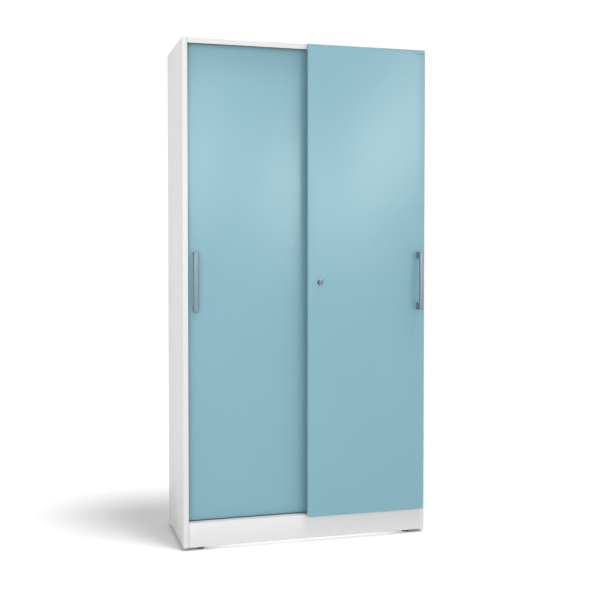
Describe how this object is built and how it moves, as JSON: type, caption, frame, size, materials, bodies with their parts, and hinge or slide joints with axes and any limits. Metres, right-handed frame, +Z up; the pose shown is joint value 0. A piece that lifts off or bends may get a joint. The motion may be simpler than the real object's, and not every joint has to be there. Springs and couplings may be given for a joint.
{
  "type": "sliding door storage cabinet",
  "caption": "Tall free-standing sheet-steel ward cabinet with a sliding front and rear door, bow handles, push lock, adjustable shelves and levelling feet.",
  "frame": {"origin": "centre of the bounding box's base, on the floor", "axes": "+Z up, +Y from the doors to the back, +X to the right as seen from the front"},
  "size_m": [1, 0.46, 1.98],
  "materials": {
    "carcass_paint": "fine satin powder coat, light grey",
    "door_paint": "fine satin powder coat, pastel blue",
    "zinc_steel": "zinc plated",
    "handle_metal": "satin",
    "lock_chrome": "polished",
    "nylon": "moulded",
    "dark_nylon": "moulded",
    "rubber": "matt"
  },
  "bodies": {
    "carcass": {"left_side_panel": "carcass_paint", "right_side_panel": "carcass_paint", "top_panel": "carcass_paint", "back_panel": "carcass_paint", "base_panel": "carcass_paint", "plinth_front": "carcass_paint", "bottom_track": "carcass_paint", "top_track": "zinc_steel", "left_base_rail": "carcass_paint", "right_base_rail": "carcass_paint", "front_left_upright": "carcass_paint", "front_right_upright": "carcass_paint", "rear_left_upright": "carcass_paint", "rear_right_upright": "carcass_paint", "shelf_1": "carcass_paint", "shelf_2": "carcass_paint", "shelf_3": "carcass_paint", "shelf_4": "carcass_paint", "shelf_1_left_support": "zinc_steel", "shelf_1_right_support": "zinc_steel", "shelf_2_left_support": "zinc_steel", "shelf_2_right_support": "zinc_steel", "shelf_3_left_support": "zinc_steel", "shelf_3_right_support": "zinc_steel", "shelf_4_left_support": "zinc_steel", "shelf_4_right_support": "zinc_steel", "left_buffer": "rubber", "right_buffer": "rubber", "left_end_stop": "rubber", "right_end_stop": "rubber"},
    "front_door": {"front_door_skin": "door_paint", "front_door_backing": "door_paint", "front_door_stiffener": "zinc_steel", "front_door_left_carriage": "zinc_steel", "front_door_right_carriage": "zinc_steel", "front_door_left_guide": "dark_nylon", "front_door_right_guide": "dark_nylon", "front_handle": "handle_metal", "lock_rosette": "lock_chrome", "lock_housing": "zinc_steel", "lock_spring": "zinc_steel"},
    "rear_door": {"rear_door_skin": "door_paint", "rear_door_backing": "door_paint", "rear_door_stiffener": "zinc_steel", "rear_door_left_carriage": "zinc_steel", "rear_door_right_carriage": "zinc_steel", "rear_door_left_guide": "dark_nylon", "rear_door_right_guide": "dark_nylon", "rear_handle": "handle_metal", "lock_keeper": "zinc_steel"},
    "front_door_left_roller": {"front_door_left_roller": "nylon"},
    "front_door_right_roller": {"front_door_right_roller": "nylon"},
    "rear_door_left_roller": {"rear_door_left_roller": "nylon"},
    "rear_door_right_roller": {"rear_door_right_roller": "nylon"},
    "lock_barrel": {"lock_barrel": "lock_chrome"},
    "lock_plug": {"lock_plug": "lock_chrome"},
    "front_left_foot": {"front_left_foot": "dark_nylon"},
    "front_right_foot": {"front_right_foot": "dark_nylon"},
    "rear_left_foot": {"rear_left_foot": "dark_nylon"},
    "rear_right_foot": {"rear_right_foot": "dark_nylon"}
  },
  "joints": [
    {"name": "front_door_slide", "type": "slide", "parent": "carcass", "child": "front_door", "axis": [1, 0, 0], "range_m": [-0.47, 0]},
    {"name": "rear_door_slide", "type": "slide", "parent": "carcass", "child": "rear_door", "axis": [1, 0, 0], "range_m": [0, 0.422]},
    {"name": "front_door_left_roller_spin", "type": "hinge", "parent": "front_door", "child": "front_door_left_roller", "pos_m": [0.039, -0.157, 0.1158], "axis": [0, 1, 0], "continuous": true},
    {"name": "front_door_right_roller_spin", "type": "hinge", "parent": "front_door", "child": "front_door_right_roller", "pos_m": [0.4437, -0.157, 0.1158], "axis": [0, 1, 0], "continuous": true},
    {"name": "rear_door_left_roller_spin", "type": "hinge", "parent": "rear_door", "child": "rear_door_left_roller", "pos_m": [-0.4435, -0.112, 0.1158], "axis": [0, 1, 0], "continuous": true},
    {"name": "rear_door_right_roller_spin", "type": "hinge", "parent": "rear_door", "child": "rear_door_right_roller", "pos_m": [0.0215, -0.112, 0.1158], "axis": [0, 1, 0], "continuous": true},
    {"name": "lock_push", "type": "slide", "parent": "front_door", "child": "lock_barrel", "axis": [0, 1, 0], "range_m": [0, 0.008], "stiffness_N_per_m": 500, "springref_m": -0.004, "deforming": ["lock_spring"]},
    {"name": "lock_turn", "type": "hinge", "parent": "lock_barrel", "child": "lock_plug", "pos_m": [0.044, -0.204, 1.0385], "axis": [0, 1, 0], "range_deg": [0, 90]},
    {"name": "front_left_foot_height", "type": "slide", "parent": "carcass", "child": "front_left_foot", "axis": [0, 0, 1], "range_m": [-0.01, 0]},
    {"name": "front_right_foot_height", "type": "slide", "parent": "carcass", "child": "front_right_foot", "axis": [0, 0, 1], "range_m": [-0.01, 0]},
    {"name": "rear_left_foot_height", "type": "slide", "parent": "carcass", "child": "rear_left_foot", "axis": [0, 0, 1], "range_m": [-0.01, 0]},
    {"name": "rear_right_foot_height", "type": "slide", "parent": "carcass", "child": "rear_right_foot", "axis": [0, 0, 1], "range_m": [-0.01, 0]}
  ],
  "couplings": [
    {"joint": "front_door_left_roller_spin", "follows": "front_door_slide", "rad_per_m": 83.333},
    {"joint": "front_door_right_roller_spin", "follows": "front_door_slide", "rad_per_m": 83.333},
    {"joint": "rear_door_left_roller_spin", "follows": "rear_door_slide", "rad_per_m": 83.333},
    {"joint": "rear_door_right_roller_spin", "follows": "rear_door_slide", "rad_per_m": 83.333}
  ]
}
